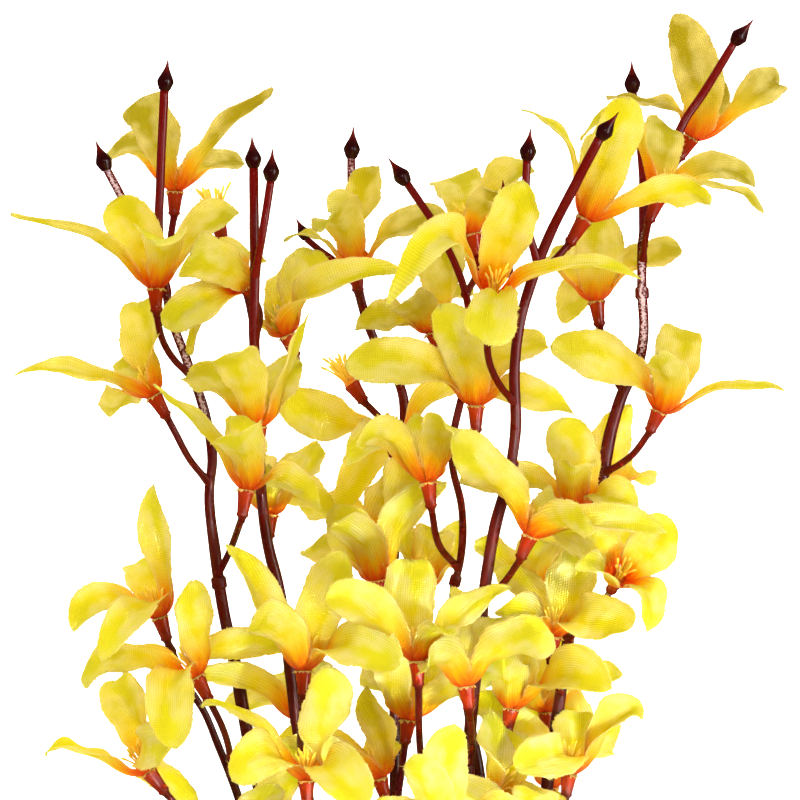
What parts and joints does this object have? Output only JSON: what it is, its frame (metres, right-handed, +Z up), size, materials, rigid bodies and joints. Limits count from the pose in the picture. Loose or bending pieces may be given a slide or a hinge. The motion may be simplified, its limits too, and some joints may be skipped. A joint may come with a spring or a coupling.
{
  "type": "artificial forsythia branch",
  "caption": "Artificial forsythia branch lying down: red-brown moulded stems with buds, and woven yellow four-petal blooms.",
  "frame": {"origin": "on the table under the straight foot of the main stem, 54 mm from its cut end", "axes": "+Y along the spray from the cut end to the twig tips, +Z up out of the table, +X to the right"},
  "size_m": [0.21, 0.4567, 0.1533],
  "materials": {
    "stem_plastic": "glossy red-brown moulded plastic, orange-red at the calyx tubes and near-black at the buds",
    "petal_cloth": "woven yellow polyester, printed orange at the throat, with frayed cut edges",
    "stamens": "moulded yellow plastic"
  },
  "bodies": {
    "root": {"main_stem": "stem_plastic", "limb_3": "stem_plastic", "limb_1": "stem_plastic", "limb_7": "stem_plastic", "limb_5": "stem_plastic", "limb_2": "stem_plastic", "limb_4": "stem_plastic", "limb_0": "stem_plastic", "bloom_a1": "petal_cloth", "bloom_a2": "petal_cloth", "bloom_a3": "petal_cloth", "bloom_a4": "stamens", "bloom_a5": "petal_cloth", "bloom_b1": "petal_cloth", "bloom_b2": "petal_cloth", "bloom_b3": "petal_cloth", "bloom_c0": "petal_cloth", "bloom_c1": "petal_cloth", "bloom_d1": "petal_cloth", "bloom_e": "petal_cloth", "bloom_d0": "petal_cloth", "bloom_g": "petal_cloth", "bloom_f": "petal_cloth", "bloom_k1": "petal_cloth", "bloom_m0": "petal_cloth", "bloom_j": "petal_cloth", "bloom_k2": "petal_cloth", "bloom_n": "petal_cloth", "bloom_p": "petal_cloth", "bloom_h": "petal_cloth", "bloom_l": "petal_cloth", "bloom_s": "petal_cloth", "bloom_u": "stamens", "bloom_d2": "petal_cloth", "bloom_v1": "petal_cloth", "bloom_v2": "petal_cloth", "bloom_r": "petal_cloth", "bloom_q1": "petal_cloth", "bloom_w": "petal_cloth", "bloom_o1": "petal_cloth", "bloom_o2": "petal_cloth", "bloom_o3": "petal_cloth", "bloom_x": "petal_cloth", "bloom_y": "petal_cloth", "bloom_mm": "petal_cloth", "bloom_z": "petal_cloth", "bloom_aa": "petal_cloth", "bloom_bb": "petal_cloth", "bloom_cc": "petal_cloth", "bloom_dd": "petal_cloth", "bloom_ee": "petal_cloth", "bloom_ff": "petal_cloth", "bloom_gg": "petal_cloth", "bloom_hh": "petal_cloth", "bloom_ii": "petal_cloth", "bloom_ll": "petal_cloth", "bloom_n1": "petal_cloth", "bloom_n2": "petal_cloth", "bloom_n3": "petal_cloth", "bloom_n4": "petal_cloth"}
  },
  "joints": []
}
